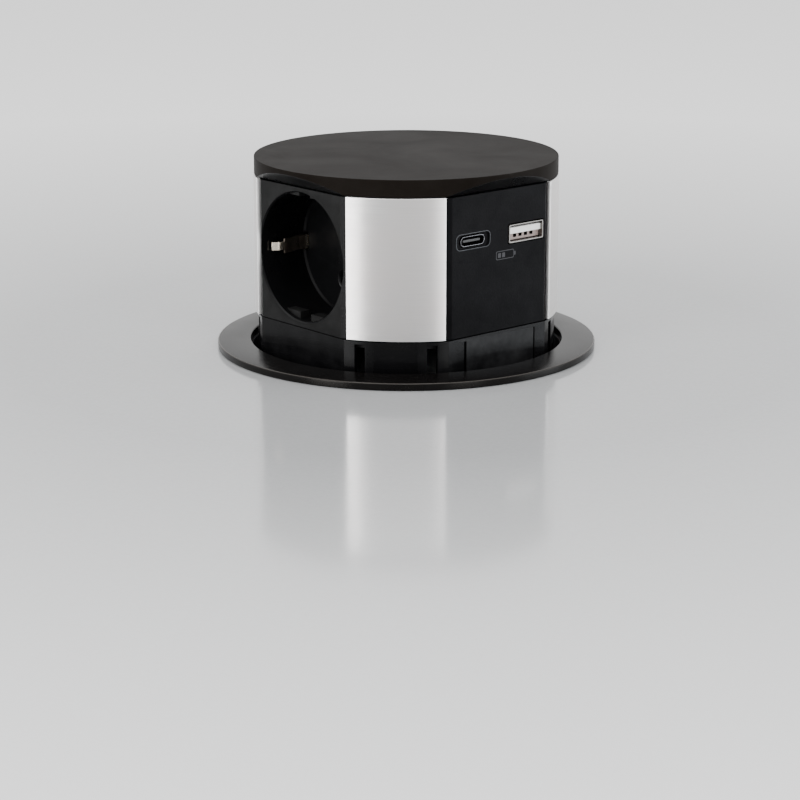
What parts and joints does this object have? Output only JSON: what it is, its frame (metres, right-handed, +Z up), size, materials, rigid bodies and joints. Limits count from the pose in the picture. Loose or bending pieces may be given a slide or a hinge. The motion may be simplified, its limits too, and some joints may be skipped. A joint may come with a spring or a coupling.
{
  "type": "retractable desk socket tower",
  "caption": "Round tower with recessed mains sockets and two small charging ports that slides up out of a flanged barrel clamped in a desk hole.",
  "frame": {"origin": "centre of the underside of the casing, on the tower's axis; the desk surface is the plane z = 0.085 m", "axes": "+Z up along the tower's slide axis; -Y out of the front socket face; +X out of the charging-port face"},
  "size_m": [0.12, 0.12, 0.1458],
  "materials": {
    "flange_black": "satin",
    "lid_black": "matte",
    "brushed_silver": "brushed",
    "face_black": "fine satin",
    "usb_face_black": "fine grained",
    "skirt_black": "semi-gloss",
    "casing_black": "matte",
    "nut_black": "matte",
    "washer_grey": "matte",
    "gasket_rubber": "matte",
    "frame_black": "matte",
    "spring_steel": "drawn wire",
    "screw_zinc": "zinc plated",
    "nickel": "nickel plated",
    "brass": "bare",
    "tongue_white": "matte",
    "tongue_black": "matte",
    "board_green": "satin",
    "transformer_yellow": "tape",
    "capacitor_dark": "sleeve",
    "acetal_white": "smooth",
    "shutter_grey": "matte",
    "gland_grey": "matte",
    "block_cream": "matte"
  },
  "bodies": {
    "casing": {"flange_bezel": "flange_black", "flange_gasket": "gasket_rubber", "casing_shell": "casing_black", "stop_ring": "frame_black", "casing_base": "casing_black", "base_screw_a": "screw_zinc", "base_screw_b": "screw_zinc", "lift_spring": "spring_steel", "damper_rack": "acetal_white", "guide_rail_front": "frame_black", "guide_rail_back": "frame_black", "latch_bracket": "casing_black", "latch_pin": "spring_steel"},
    "tower": {"tower_base": "casing_black", "damper_body": "casing_black", "tower_frame": "frame_black", "tie_screw_a": "screw_zinc", "tie_screw_b": "screw_zinc", "striker_bar": "spring_steel", "lid": "lid_black", "silver_panel_a": "brushed_silver", "silver_panel_b": "brushed_silver", "silver_panel_c": "brushed_silver", "silver_panel_d": "brushed_silver", "skirt": "skirt_black", "gland_body": "gland_grey", "gland_nut": "gland_grey", "socket_front": "face_black", "earth_strap_front": "nickel", "socket_block_front": "block_cream", "socket_back": "face_black", "earth_strap_back": "nickel", "socket_block_back": "block_cream", "socket_left": "face_black", "earth_strap_left": "nickel", "socket_block_left": "block_cream", "live_busbar": "brass", "neutral_busbar": "brass", "usb_face": "usb_face_black", "usb_c_shell": "nickel", "usb_a_shell": "nickel", "usb_c_tongue": "tongue_black", "usb_a_tongue": "tongue_white", "usb_board": "board_green", "transformer": "transformer_yellow", "capacitor": "capacitor_dark"},
    "pinion": {"damper_pinion": "acetal_white"},
    "latch": {"latch_hook": "acetal_white"},
    "washer": {"clamp_washer": "washer_grey"},
    "nut": {"clamp_nut": "nut_black"},
    "shutter_f": {"shutter_front": "shutter_grey"},
    "shutter_b": {"shutter_back": "shutter_grey"},
    "shutter_l": {"shutter_left": "shutter_grey"}
  },
  "joints": [
    {"name": "tower_slide", "type": "slide", "parent": "casing", "child": "tower", "axis": [0, 0, 1], "range_m": [-0.058, 0], "stiffness_N_per_m": 100, "springref_m": 0.1, "deforming": ["lift_spring"]},
    {"name": "damper_spin", "type": "hinge", "parent": "tower", "child": "pinion", "pos_m": [0.041, 0, 0.0677], "axis": [0, 1, 0], "range_deg": [-832, 1]},
    {"name": "latch_turn", "type": "hinge", "parent": "casing", "child": "latch", "pos_m": [-0.041, 0, 0.0052], "axis": [0, 1, 0], "range_deg": [0, 18], "stiffness_Nm_per_rad": 0.004, "springref_deg": -5.73},
    {"name": "washer_slide", "type": "slide", "parent": "casing", "child": "washer", "axis": [0, 0, 1], "range_m": [-0.025, 0.019]},
    {"name": "nut_turn", "type": "hinge", "parent": "washer", "child": "nut", "pos_m": [0, 0, 0.046], "axis": [0, 0, 1], "range_deg": [-1440, 1080]},
    {"name": "shutter_front_turn", "type": "hinge", "parent": "tower", "child": "shutter_f", "pos_m": [0, -0.02315, 0.1185], "axis": [0, -1, 0], "range_deg": [0, 40], "stiffness_Nm_per_rad": 0.004, "springref_deg": -5.73},
    {"name": "shutter_back_turn", "type": "hinge", "parent": "tower", "child": "shutter_b", "pos_m": [0, 0.02315, 0.1185], "axis": [0, 1, 0], "range_deg": [0, 40], "stiffness_Nm_per_rad": 0.004, "springref_deg": -5.73},
    {"name": "shutter_left_turn", "type": "hinge", "parent": "tower", "child": "shutter_l", "pos_m": [-0.02315, 0, 0.1185], "axis": [-1, 0, 0], "range_deg": [0, 40], "stiffness_Nm_per_rad": 0.004, "springref_deg": -5.73}
  ],
  "couplings": [
    {"joint": "damper_spin", "follows": "tower_slide", "rad_per_m": 250},
    {"joint": "washer_slide", "follows": "nut_turn", "m_per_rad": 0.00095493}
  ]
}
